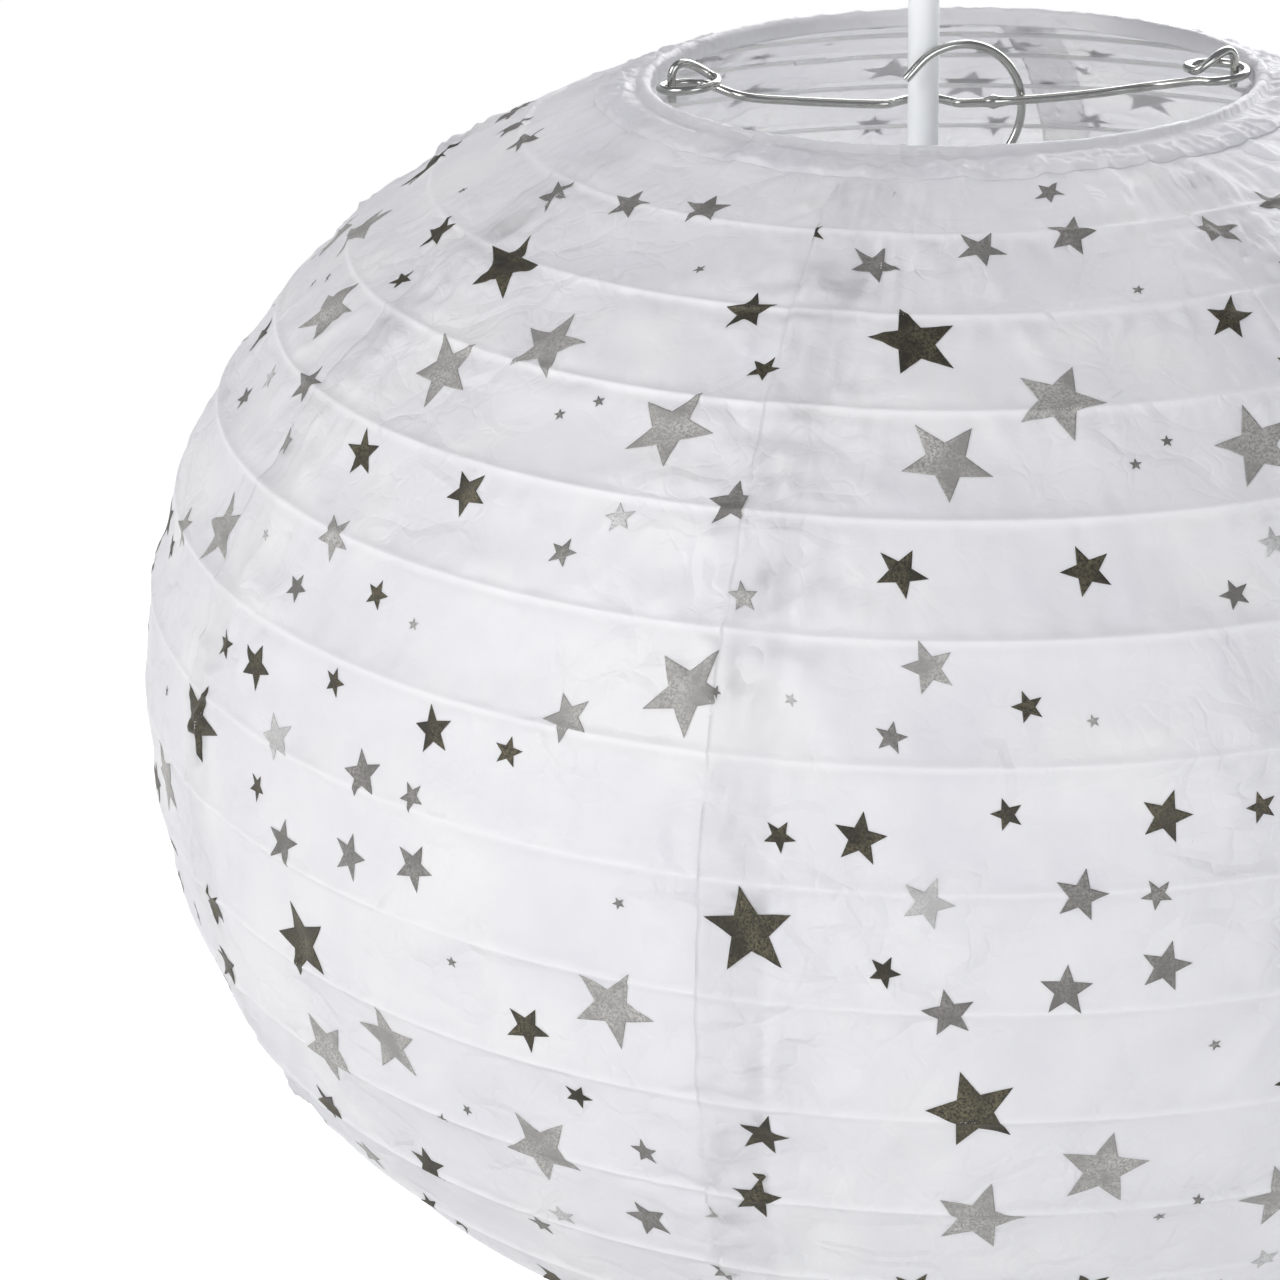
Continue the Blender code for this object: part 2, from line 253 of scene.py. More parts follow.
def tissue_paper(name, through, first, second):
    """White tissue: cloudy fibre, crisp creases, and light that comes through from behind.

    Where "doubled" is 1 the sheet is one of two, each lets more light through, and its tone is
    lifted towards white, a painted sheen. Where "glued" is 1, along a rib, it is denser, and its
    tone is lifted towards white, a painted highlight.
    """
    finish = Finish(name)
    doubled = finish.node("ShaderNodeAttribute", attribute_name="doubled").outputs["Fac"]
    clouds = finish.noise(38, 4, 0.6)
    fibre = finish.noise(900, 2, 0.6, (1, 1, 0.35))
    share = finish.spread(clouds, 0.35, 0.65, 0, 1)
    tone = finish.colours(share, first, second)
    glued = finish.node("ShaderNodeAttribute", attribute_name="glued").outputs["Fac"]
    painted_sheen_white = (0.985, 0.985, 0.988)
    # Painted sheen: the doubled seam strips and the paper along each rib are lifted towards white.
    tone = finish.colours(finish.spread(doubled, 0, 1, 0, 0.4), tone, painted_sheen_white)
    tone = finish.colours(glued, tone, painted_sheen_white)
    broad = finish.facets(62, (1, 1, 1.7))
    fine = finish.facets(150, (1, 1, 0.7))
    worn = finish.spread(finish.noise(24, 2), 0.42, 0.58, 0.15, 1)
    normal = finish.bump(finish.maths("MULTIPLY", broad, worn), 0.00042, 0.8)
    normal = finish.bump(finish.maths("MULTIPLY", fine, worn), 0.00013, 0.8, normal)
    normal = finish.bump(fibre, 0.00003, 0.5, normal)
    rough = finish.spread(finish.noise(120, 3), 0.3, 0.7, 0.30, 0.50)
    finish.set(base_color=tone, roughness=rough, normal=normal)
    finish.shader.inputs["IOR"].default_value = 1.45
    back = finish.node("ShaderNodeBsdfTranslucent")
    finish.feed(back.inputs["Color"], tone)
    finish.feed(back.inputs["Normal"], normal)
    mixed = finish.node("ShaderNodeMixShader")
    thinned = finish.spread(doubled, 0, 1, through, 1.2 * through)
    dense = finish.spread(glued, 0, 1, 1, 0.7)
    finish.feed(mixed.inputs["Fac"], finish.maths("MULTIPLY", thinned, dense))
    finish.feed(mixed.inputs[1], finish.shader.outputs["BSDF"])
    finish.feed(mixed.inputs[2], back.outputs["BSDF"])
    finish.feed(finish.output.inputs["Surface"], mixed.outputs["Shader"])
    return finish.material


def foil(name, colour, speck, metallic, dullness):
    """Stamped foil, rubbed and grainy, with flakes that have gone dull."""
    finish = Finish(name)
    grain = finish.spread(finish.noise(2100, 3, 0.75), 0.40, 0.60, 0, 1)
    rubbed = finish.spread(finish.noise(170, 3), 0.35, 0.7, 0.15, 1)
    tone = finish.colours(finish.maths("MULTIPLY", grain, rubbed), colour, speck)
    rough = finish.spread(grain, 0, 1, dullness, dullness + 0.22)
    normal = finish.bump(finish.noise(430, 3, 0.6), 0.00008, 0.7)
    normal = finish.bump(grain, 0.00002, 0.5, normal)
    finish.shader.inputs["Metallic"].default_value = metallic
    return finish.set(base_color=tone, roughness=rough, normal=normal)


def zinc_wire(name, colour, roughness):
    """Drawn and zinc-plated steel wire, with fine scratches along it and slightly dull patches."""
    finish = Finish(name)
    patches = finish.spread(finish.noise(260, 3, 0.5), 0.35, 0.65, 0, 1)
    scratches = finish.noise(3200, 2, 0.6, (0.1, 1, 1))
    tone = finish.colours(patches, colour, tuple(0.86 * c for c in colour))
    rough = finish.spread(patches, 0, 1, roughness, roughness + 0.07)
    normal = finish.bump(scratches, 0.00001, 0.5)
    finish.shader.inputs["Metallic"].default_value = 1.0
    return finish.set(base_color=tone, roughness=rough, normal=normal)


def moulded(name, first, second, roughness, grain_scale, depth):
    """Moulded plastic: a slight orange peel, with dust and handling in the roughness."""
    finish = Finish(name)
    tone = finish.colours(finish.spread(finish.noise(60, 3), 0.35, 0.65, 0, 1), first, second)
    rough = finish.spread(finish.noise(210, 3), 0.3, 0.7, roughness - 0.06, roughness + 0.1)
    normal = finish.bump(finish.noise(grain_scale, 3, 0.6), depth, 0.6)
    return finish.set(base_color=tone, roughness=rough, normal=normal)


def make_finishes():
    return {
        "paper": tissue_paper("tissue_paper", 0.50, (0.915, 0.915, 0.933), (0.965, 0.965, 0.962)),
        "hem": tissue_paper("tissue_hem", 0.49, (0.90, 0.90, 0.92), (0.955, 0.955, 0.96)),
        # Four tones of one silver foil: darker and paler copies that stand for what it reflects, a painted
        # reflection.
        "silver": foil("silver_foil", (0.27, 0.265, 0.25), (0.60, 0.59, 0.56), 0.2, 0.5),
        "pale": foil("pale_foil", (0.42, 0.42, 0.41), (0.76, 0.76, 0.75), 0.2, 0.5),
        "grey": foil("grey_foil", (0.15, 0.146, 0.134), (0.36, 0.35, 0.33), 0.2, 0.5),
        "dark": foil("dark_foil", (0.030, 0.028, 0.021), (0.16, 0.14, 0.085), 0.3, 0.4),
        "frame_wire": zinc_wire("frame_zinc", (0.50, 0.505, 0.48), 0.16),
        "rib_wire": moulded("rib_lacquer", (0.88, 0.88, 0.87), (0.92, 0.92, 0.91), 0.45, 1500, 0.00002),
        "cord": moulded("cord_sheath", (0.86, 0.89, 0.90), (0.90, 0.92, 0.92), 0.34, 340, 0.00004),
        "white": moulded("white_moulding", (0.84, 0.84, 0.83), (0.87, 0.87, 0.86), 0.3, 900, 0.00003),
        "grey_moulding": moulded(
            "grey_moulding", (0.62, 0.62, 0.60), (0.70, 0.70, 0.68), 0.45, 700, 0.00005
        ),
        "brass": zinc_wire("screw_brass", (0.72, 0.58, 0.30), 0.28),
    }


# ---- numbers about the shade ----


def outline():
    """Radius, height and distance along the paper, from the middle up to the pole."""
    t = np.linspace(0, math.pi / 2, 4001)
    radius = SHADE_RADIUS * np.cos(t) ** (2 / FULLNESS)
    height = POLE_HEIGHT * np.sin(t) ** (2 / FULLNESS)
    step = np.hypot(np.diff(radius), np.diff(height))
    return radius, height, np.concatenate([[0], np.cumsum(step)])


OUTLINE_R, OUTLINE_Z, OUTLINE_S = outline()
RIM_S = float(np.interp(RIM_Z, OUTLINE_Z, OUTLINE_S))
RIM_RADIUS = float(np.interp(RIM_S, OUTLINE_S, OUTLINE_R))
LAST_RIB_S = (RIBS - 1) / 2 * RIB_PITCH
SHADE_MIDDLE = np.array((SHADE_X, 0.0, EQUATOR_Z))
ROLL = np.random.default_rng(11)
SHUFFLE = np.tile(ROLL.permutation(256), 2)
SLOPES = ROLL.normal(size=(256, 3))
SLOPES /= np.linalg.norm(SLOPES, axis=1)[:, None]
SLANT = np.array(Matrix.Rotation(math.radians(34), 3, "Z"))


def noise(points, size):
    """Smooth noise, about -1 to 1, with features of this size."""
    at = np.asarray(points) / size
    cell = np.floor(at).astype(int)
    part = at - cell
    ease = part**3 * (part * (part * 6 - 15) + 10)
    total = np.zeros(at.shape[:-1])
    for corner in itertools.product((0, 1), repeat=3):
        x, y, z = np.moveaxis((cell + corner) & 255, -1, 0)
        slope = SLOPES[SHUFFLE[SHUFFLE[SHUFFLE[x] + y] + z]]
        weight = np.prod(np.where(corner, ease, 1 - ease), axis=-1)
        total += weight * ((part - corner) * slope).sum(-1)
    return 1.7 * total


def ridged(points, size):
    """Noise with sharp ridges, 0 to 1."""
    return np.clip(1 - np.abs(noise(points, size)) * 1.8, 0, 1) ** 1.7


def smooth_step(value, low, high):
    share = np.clip((value - low) / (high - low), 0, 1)
    return share * share * (3 - 2 * share)


def on_outline(along):
    """Radius, height, and the outward normal's two parts, at this distance along the paper."""
    reach = np.abs(along)
    radius = np.interp(reach, OUTLINE_S, OUTLINE_R)
    height = np.interp(reach, OUTLINE_S, OUTLINE_Z)
    near = np.maximum(reach - 2e-4, 0)
    dr = np.interp(reach + 2e-4, OUTLINE_S, OUTLINE_R) - np.interp(near, OUTLINE_S, OUTLINE_R)
    dz = np.interp(reach + 2e-4, OUTLINE_S, OUTLINE_Z) - np.interp(near, OUTLINE_S, OUTLINE_Z)
    size = np.hypot(dr, dz)
    side = np.where(along < 0, -1.0, 1.0)
    return radius, side * height, dz / size, side * -dr / size


def around(radius, angle, height):
    return np.stack([radius * np.sin(angle), -radius * np.cos(angle), height], axis=-1)


def fan_creases(angle, along):
    """Creases that fan out from a ring, through the end band and the hem glued over it."""
    reach = np.abs(along)
    lines = ridged(np.stack([angle * RIM_RADIUS, along * 0.16, 0 * angle], -1) + 41, 0.0085)
    from_rib = smooth_step(reach, LAST_RIB_S, LAST_RIB_S + 0.006)
    from_ring = 1 - smooth_step(reach, RIM_S - 0.0045, RIM_S - 0.002)
    gap = (angle - FIRST_SEAM) % (2 * math.pi)
    from_seam = smooth_step(np.minimum(gap, 2 * math.pi - gap) * RIM_RADIUS, 0.007, 0.015)
    return FAN_CREASE * lines * from_rib * from_ring * from_seam


def relief(angle, along):
    """How far the paper stands out from the outline: drawn in between ribs, creased at the seams."""
    radius, height, _, _ = on_outline(along)
    point = around(radius, angle, height)
    reach = np.abs(along)
    phase = (along / RIB_PITCH - 0.5) % 1.0
    band = np.floor(along / RIB_PITCH - 0.5)
    beyond = reach > LAST_RIB_S
    end_band = RIM_S - HEM_WIDTH * 0.7 - LAST_RIB_S
    phase = np.where(beyond, np.clip((reach - LAST_RIB_S) / end_band, 0, 1), phase)
    width = np.where(beyond, end_band, RIB_PITCH)
    from_rib = np.minimum(phase, 1 - phase) * width
    trough = (4 * phase * (1 - phase)) ** 1.1
    slack = 1 + 0.3 * noise(np.stack([angle * 2.6, band * 3.7, 0 * angle], -1), 1.0)
    free = smooth_step(from_rib, 0.0, 0.005)

    seam = (angle - FIRST_SEAM) / (2 * math.pi / GORES)
    to_seam = np.abs(seam - np.round(seam)) * 2 * math.pi / GORES * radius
    by_seam = np.exp(-((to_seam / SEAM_REACH) ** 2))
    per_band = point + np.stack([0 * angle, 0 * angle, band * 0.4], -1)
    unrolled = np.stack([angle * SHADE_RADIUS, along, band * 0.3], -1)

    broad = SWELL * noise(per_band * (1, 1, 0.6), 0.030)
    folds = FOLDS * noise(per_band, 0.0125) + SMALL_FOLDS * noise(point + 7, 0.0055)
    upright = UPRIGHT_FOLDS * by_seam * (ridged(unrolled * (1.6, 0.55, 1), 0.009) - 0.2)
    upright += UPRIGHT_RIPPLE * by_seam * noise(unrolled * (0.8, 1.5, 1) + 9, 0.0055)
    crumple = ridged(unrolled * (0.7, 1.5, 1) + 21, 0.010) + 0.6 * ridged(point + 31, 0.0075)
    upright += SEAM_CRUMPLE * by_seam * crumple * smooth_step(noise(point + 13, 0.02), -0.2, 0.4)
    long_crease = 0 * angle
    for turned, offset in ((unrolled @ SLANT, 3), (unrolled @ SLANT.T, 17)):
        line = ridged(turned * (1, 0.18, 1) + offset, 0.017)
        long_crease = long_crease + line * smooth_step(noise(point + offset, 0.04), 0.0, 0.5)
    pucker = noise(unrolled * (1, 0.2, 1), 0.0046) * np.exp(-((from_rib / PUCKER_REACH) ** 2)) * PUCKER
    pucker = pucker * smooth_step(from_rib, 0.0002, 0.0022)
    wire = WIRE_RIDGE * np.exp(-((from_rib / WIRE_REACH) ** 2)) * ~(beyond & (phase > 0.5))
    settled = 1 - smooth_step(reach, RIM_S - HEM_WIDTH - 0.005, RIM_S - HEM_WIDTH - 0.0005)
    creases = free * (broad + folds + upright + LONG_CREASE * long_crease)
    fan = fan_creases(angle, along)
    return settled * (creases - SAG * trough * slack + pucker + wire) + fan


# ---- mesh helpers ----


def add_piece(name, mesh, body, finish, nodes=()):
    """Links a mesh as a piece that rides on a CAD body and stands for the named nodes."""
    for item in finish if isinstance(finish, list) else [finish]:
        mesh.materials.append(item)
    made = bpy.data.objects.new(name, mesh)
    bpy.context.scene.collection.objects.link(made)
    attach(made, body)
    if nodes:
        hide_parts(*nodes)
    return made


def grid_mesh(name, points, ring=False):
    """A mesh from rows of points; with ring, each row closes on itself."""
    rows, columns = points.shape[:2]
    index = np.arange(rows * columns).reshape(rows, columns)
    following = np.roll(index, -1, axis=1) if ring else index[:, 1:]
    here = index if ring else index[:, :-1]
    quads = np.stack([here[:-1], following[:-1], following[1:], here[1:]], -1).reshape(-1, 4)
    mesh = bpy.data.meshes.new(name)
    mesh.from_pydata(points.reshape(-1, 3).tolist(), [], quads.tolist())
    mesh.shade_smooth()
    return mesh


def give_thickness(piece, thickness):
    """Closes a sheet with an inner face. Applied at once, so that the piece's mesh is final."""
    solid = piece.modifiers.new("thickness", "SOLIDIFY")
    solid.thickness = thickness
    solid.offset = -1
    solid.use_rim = True
    graph = bpy.context.evaluated_depsgraph_get()
    made = bpy.data.meshes.new_from_object(piece.evaluated_get(graph))
    piece.modifiers.clear()
    piece.data = made
    made.shade_smooth()


def smooth_path(points, steps):
    """Catmull-Rom curve through the points."""
    ends = [2 * points[0] - points[1], *points, 2 * points[-1] - points[-2]]
    made = []
    for a, b, c, d in zip(ends, ends[1:], ends[2:], ends[3:]):
        for i in range(steps):
            t = i / steps
            cubic = (3 * b - a - 3 * c + d) * t**3
            made.append(0.5 * (2 * b + (c - a) * t + (2 * a - 5 * b + 4 * c - d) * t**2 + cubic))
    made.append(points[-1])
    return made


def wire_mesh(name, path, radii, sides=16, closed=False):
    """A round wire along a path, its section carried along without twisting, with cut ends."""
    shape = bmesh.new()
    count = len(path)
    normal = None
    loops = []
    for i, centre in enumerate(path):
        if closed:
            ahead = (path[(i + 1) % count] - path[i - 1]).normalized()
        else:
            ahead = (path[min(i + 1, count - 1)] - path[max(i - 1, 0)]).normalized()
        if normal is None:
            normal = Vector((0, 0, 1)) if abs(ahead.z) < 0.5 else ahead.orthogonal().normalized()
        normal = (normal - ahead * normal.dot(ahead)).normalized()
        other = ahead.cross(normal)
        loop = []
        for k in range(sides):
            turn = 2 * math.pi * k / sides
            offset = radii[i] * (math.cos(turn) * normal + math.sin(turn) * other)
            loop.append(shape.verts.new(centre + offset))
        loops.append(loop)
    pairs = list(zip(loops, loops[1:]))
    if closed:
        pairs.append((loops[-1], loops[0]))
    for low, high in pairs:
        for k in range(sides):
            n = (k + 1) % sides
            shape.faces.new((low[k], low[n], high[n], high[k]))
    if not closed:
        shape.faces.new(loops[0][::-1])
        shape.faces.new(loops[-1])
    bmesh.ops.recalc_face_normals(shape, faces=shape.faces)
    mesh = bpy.data.meshes.new(name)
    shape.to_mesh(mesh)
    shape.free()
    mesh.shade_smooth()
    mesh.set_sharp_from_angle(angle=math.radians(45))
    return mesh


def rounded(corners, radius, steps=4):
    """A closed outline with each corner cut to a small round."""
    made = []
    for i, corner in enumerate(corners):
        corner = Vector(corner)
        before = Vector(corners[i - 1])
        after = Vector(corners[(i + 1) % len(corners)])
        if corner.x == 0:
            made.append(corner)
            continue
        start = corner.lerp(before, min(radius / (before - corner).length, 0.45))
        end = corner.lerp(after, min(radius / (after - corner).length, 0.45))
        for k in range(steps + 1):
            t = k / steps
            made.append(start.lerp(corner, t).lerp(corner.lerp(end, t), t))
    return made


def turned_mesh(name, profile, segments=96, flutes=None):
    """A closed profile turned about the cord's axis. Flutes is (count, depth, least radius)."""
    radius = np.array([p.x for p in profile])
    height = np.array([p.y for p in profile])
    angle = np.linspace(0, 2 * math.pi, segments, endpoint=False)[:, None]
    spread = np.broadcast_to(radius, (segments, len(radius))).copy()
    if flutes:
        count, depth, least = flutes
        cut = depth * np.clip(np.cos(count * angle), 0, 1) ** 2
        spread -= np.where(radius > least, cut, 0)
    points = around(spread, angle, np.broadcast_to(height, spread.shape))
    points = np.concatenate([points, points[:1]], axis=0)
    points = np.concatenate([points, points[:, :1]], axis=1)
    shape = bmesh.new()
    mesh = grid_mesh(name, points)
    shape.from_mesh(mesh)
    bmesh.ops.remove_doubles(shape, verts=shape.verts, dist=1e-7)
    bmesh.ops.dissolve_degenerate(shape, edges=shape.edges, dist=1e-7)
    bmesh.ops.recalc_face_normals(shape, faces=shape.faces)
    shape.to_mesh(mesh)
    shape.free()
    mesh.shade_smooth()
    mesh.set_sharp_from_angle(angle=math.radians(50))
    return mesh


# ---- cord ----


def make_cord(finish):
    """The straight flex between the lamp holder's grip and the rose's grip, held taut."""
    count = 16
    radius = (CORD_HIGH.x - CORD_LOW.x) / 2
    curve = bpy.data.curves.new("cord_flex", "CURVE")
    curve.dimensions = "3D"
    curve.bevel_depth = radius
    curve.bevel_resolution = 8
    curve.use_fill_caps = True
    line = curve.splines.new("POLY")
    line.points.add(count - 1)
    for i, point in enumerate(line.points):
        height = CORD_LOW.z + (CORD_HIGH.z - CORD_LOW.z) * i / (count - 1)
        point.co = (0, 0, height, 1)
    line.use_smooth = True
    curve.materials.append(finish)
    flex = bpy.data.objects.new("cord_flex", curve)
    bpy.context.scene.collection.objects.link(flex)
    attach(flex, "ceiling_fitting")
    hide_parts("cord")
    return flex


# ---- shade ----

GORE_COLUMNS = 140
ROWS_IN_BAND = 20


def row_places():
    """Distances along a gore for its rows, from top to bottom, closest together at each rib."""
    end = RIM_S - 2 * FRAME_WIRE
    stops = [end, *((RIBS - 1) / 2 * RIB_PITCH - k * RIB_PITCH for k in range(RIBS)), -end]
    places = []
    for upper, lower in zip(stops[:-1], stops[1:]):
        for i in range(ROWS_IN_BAND):
            share = i / ROWS_IN_BAND
            eased = share - 0.8 * math.sin(2 * math.pi * share) / (2 * math.pi)
            places.append(upper + (lower - upper) * eased)
    places.append(stops[-1])
    return np.array(places)


class Gore:
    """One strip of paper from ring to ring, as a grid of points that its stars lie on."""

    def __init__(self, number):
        self.number = number
        self.centre = FIRST_SEAM + (number - 0.5) * 2 * math.pi / GORES
        self.along = row_places()
        self.share = np.linspace(-1, 1, GORE_COLUMNS)
        along = np.broadcast_to(self.along[:, None], (len(self.along), GORE_COLUMNS))
        angle = self.centre + self.share * self.half_angle(along)
        self.points = self.place(angle, along)
        self.angle = angle

    def half_angle(self, along):
        radius = on_outline(along)[0]
        return math.pi / GORES + OVERLAP / 2 / radius

    def place(self, angle, along):
        radius, height, out_r, out_z = on_outline(along)
        from_edge = (angle - self.centre + self.half_angle(along)) * radius
        lift = LIFT * (1 - smooth_step(from_edge, OVERLAP, OVERLAP + 0.006))
        lift = lift * smooth_step(from_edge, 0, 0.0013)
        lift = lift * (1 - 0.6 * smooth_step(np.abs(along), RIM_S - 0.020, RIM_S - HEM_WIDTH))
        from_far_edge = 2 * self.half_angle(along) * radius - from_edge
        lift = lift - TUCK * (1 - smooth_step(from_far_edge, OVERLAP - 0.0045, OVERLAP - 0.0015))
        stand = relief(angle, along) + lift
        return around(radius + stand * out_r, angle, height + stand * out_z) + SHADE_MIDDLE

    def on_paper(self, across, along, proud):
        """Points of the printed face, from flat distances across and along the gore."""
        radius, _, out_r, out_z = on_outline(along)
        half = self.half_angle(along)
        share = np.clip(across / radius / half, -1, 1)
        column = (share + 1) / 2 * (GORE_COLUMNS - 1)
        rows = len(self.along)
        row = np.interp(-along, -self.along, np.arange(rows))
        i = np.minimum(row.astype(int), rows - 2)
        j = np.minimum(column.astype(int), GORE_COLUMNS - 2)
        v = (row - i)[..., None]
        u = (column - j)[..., None]
        grid = self.points
        high = grid[i, j] * (1 - u) + grid[i, j + 1] * u
        low = grid[i + 1, j] * (1 - u) + grid[i + 1, j + 1] * u
        angle = self.centre + share * half
        return high * (1 - v) + low * v + proud * around(out_r, angle, out_z)


def fold_with_shade(piece):
    """Gives the piece a mesh of its own."""
    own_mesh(piece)


def layers(gore):
    """Where the paper lies double along its two seams, and where it is glued to a rib. The tissue lifts its
    tone towards white on both, a painted sheen.
    """
    along = np.broadcast_to(gore.along[:, None], gore.angle.shape)
    radius = on_outline(along)[0]
    from_edge = (gore.angle - gore.centre + gore.half_angle(along)) * radius
    nearest = np.minimum(from_edge, 2 * gore.half_angle(along) * radius - from_edge)
    strip = 1 - smooth_step(nearest, OVERLAP - 0.0008, OVERLAP + 0.0002)
    from_rib = np.abs((along / RIB_PITCH) % 1.0 - 0.5) * RIB_PITCH
    # Along each rib this mask also gives the paper a painted highlight.
    glued = np.where(np.abs(along) < LAST_RIB_S + RIB_PITCH / 2, np.exp(-((from_rib / WIRE_REACH) ** 2)), 0)
    return {"doubled": strip, "glued": 0.55 * glued}


def make_gore(gore, finish):
    name = f"tissue_gore_{gore.number}"
    mesh = grid_mesh(name, gore.points[:, ::-1])
    for layer, amounts in layers(gore).items():
        attribute = mesh.attributes.new(layer, "FLOAT", "POINT")
        attribute.data.foreach_set("value", amounts[:, ::-1].ravel().astype(np.float32))
    piece = add_piece(name, mesh, "wire_frame", finish, [f"paper_gore_{gore.number}"])
    give_thickness(piece, PAPER)
    fold_with_shade(piece)


def make_hem(name, side, body, node, finish):
    """The paper turned over a ring and glued down outside, gathered into small creases."""
    columns = 900
    angle = FIRST_SEAM + np.linspace(0, 2 * math.pi, columns, endpoint=False)
    clear = FRAME_WIRE + 0.0004
    glued = np.linspace(RIM_S - HEM_WIDTH, RIM_S - 0.0012, 22)
    radius, height, out_r, out_z = on_outline(glued)
    proud = 0.00008 + 0.0002 * smooth_step(glued, glued[0], glued[0] + 0.0016)
    outside = np.stack([radius + proud * out_r, height + proud * out_z], -1)
    turn = np.radians(np.linspace(62, 180, 12))
    over = np.stack([RIM_RADIUS + clear * np.cos(turn), RIM_Z + clear * np.sin(turn)], -1)
    inside = np.stack([np.full(5, RIM_RADIUS - clear), RIM_Z - np.linspace(0.0004, 0.0022, 5)], -1)
    profile = np.concatenate([outside, over, inside])
    reach = np.concatenate([glued, np.full(len(over) + len(inside), RIM_S)])
    tangent = np.gradient(profile, axis=0)
    normal = np.stack([tangent[:, 1], -tangent[:, 0]], -1)
    normal /= np.linalg.norm(normal, axis=1)[:, None]

    turned_angle, place = np.meshgrid(angle, np.arange(len(profile)), indexing="ij")
    share = place / (len(profile) - 1)
    base = profile[place]
    flat = np.stack(
        [RIM_RADIUS * np.sin(turned_angle), RIM_RADIUS * np.cos(turned_angle), share * 0.014], -1
    )
    flat = flat + 0.3 * side
    loops = np.exp(-((np.cos(turned_angle) * RIM_RADIUS / 0.011) ** 2))
    gather = 1 - 0.65 * smooth_step(share, 0.30, 0.55)
    creased = 0.00062 * ridged(flat @ SLANT * (1, 1, 0.8), 0.0085)
    creased += 0.0005 * ridged(flat * (1.3, 1.3, 0.8) + 4, 0.0044)
    creased += 0.00036 * np.abs(noise(flat * (1, 1, 1.6), 0.0026))
    creased = creased * gather * (0.8 + 1.0 * loops) * smooth_step(share, 0, 0.08)
    edge = 0.0009 * noise(flat * (1, 1, 0), 0.016) + 0.0006 * noise(flat * (1, 1, 0) + 5, 0.004)
    edge = edge * np.clip(1 - share * 3, 0, 1)
    held = np.where(share > 0.8, 0.25, 1.0)
    out = creased * held + fan_creases(turned_angle, side * reach[place])
    up = tangent[0] / np.linalg.norm(tangent[0])
    radius = base[..., 0] + out * normal[place][..., 0] + edge * up[0]
    height = base[..., 1] + out * normal[place][..., 1] + edge * up[1]
    points = around(radius, turned_angle, side * height) + SHADE_MIDDLE
    points = np.moveaxis(points, 0, 1)
    if side < 0:
        points = points[:, ::-1]
    mesh = grid_mesh(name, points[::-1], ring=True)
    piece = add_piece(name, mesh, body, finish, [node])
    give_thickness(piece, PAPER)


# ---- stars ----

PRINT_REPEAT = 0.140  # each way
PRINT_TOP = 0.116  # along the paper, where a repeat starts
PRINT_DRIFT = 0.006  # how far a gore's print may lie out of step
PRINT_SEED = 5
STAR_SIZES = {"big": 0.0082, "medium": 0.0047, "small": 0.0029, "dot": 0.0012}
STAR_INSET = 0.43
# Each star's tone is a painted reflection: darker or paler copies of one silver foil, given at random by
# these shares.
STAR_TONES = ("dark", "grey", "silver", "pale")
# For each size: how many in a repeat, the least gap to a star's edge, and the share of each tone.
STAR_PRINT = {
    "big": (7, 0.0125, (0.35, 0.0, 0.65, 0.0)),
    "medium": (15, 0.0090, (0.52, 0.24, 0.06, 0.18)),
    "small": (14, 0.0075, (0.48, 0.36, 0.04, 0.12)),
    "dot": (7, 0.0060, (0.15, 0.45, 0.10, 0.30)),
}


def scatter_stars():
    """One repeat of the print: stars of four sizes at random, each clear of the rest."""
    draw = np.random.default_rng(PRINT_SEED)
    half = PRINT_REPEAT / 2
    stars = []
    for size, (count, gap, shares) in STAR_PRINT.items():
        placed = 0
        while placed < count:
            x, y = draw.random(2) * PRINT_REPEAT
            tone = str(draw.choice(STAR_TONES, p=shares))
            clear = True
            for other, _, ox, oy in stars:
                dx = abs(x - ox + half) % PRINT_REPEAT - half
                dy = abs(y - oy + half) % PRINT_REPEAT - half
                if math.hypot(dx, dy) < gap + STAR_SIZES[other]:
                    clear = False
            if clear:
                stars.append((size, tone, x, y))
                placed += 1
    return stars


def star_patch(size, turn):
    """Flat points and triangles of one star, fine enough to lie on creased paper."""
    radius = STAR_SIZES[size]
    points = 10
    fine = max(2, math.ceil(radius / 0.0009))
    rim = []
    for k in range(points):
        reach = radius if k % 2 == 0 else radius * STAR_INSET
        angle = turn + 2 * math.pi * k / points
        rim.append((reach * math.sin(angle), reach * math.cos(angle)))
    spots = {}
    faces = []

    def spot(first, second, i, j):
        """The point i steps out along one ray and j steps across to the next."""
        x = (rim[first][0] * (i - j) + rim[second][0] * j) / fine
        y = (rim[first][1] * (i - j) + rim[second][1] * j) / fine
        key = (round(x, 7), round(y, 7))
        return spots.setdefault(key, len(spots))

    for k in range(points):
        n = (k + 1) % points
        for i in range(fine):
            for j in range(i + 1):
                faces.append((spot(k, n, i, j), spot(k, n, i + 1, j), spot(k, n, i + 1, j + 1)))
                if j < i:
                    faces.append((spot(k, n, i, j), spot(k, n, i + 1, j + 1), spot(k, n, i, j + 1)))
    return np.array(list(spots)), np.array(faces)


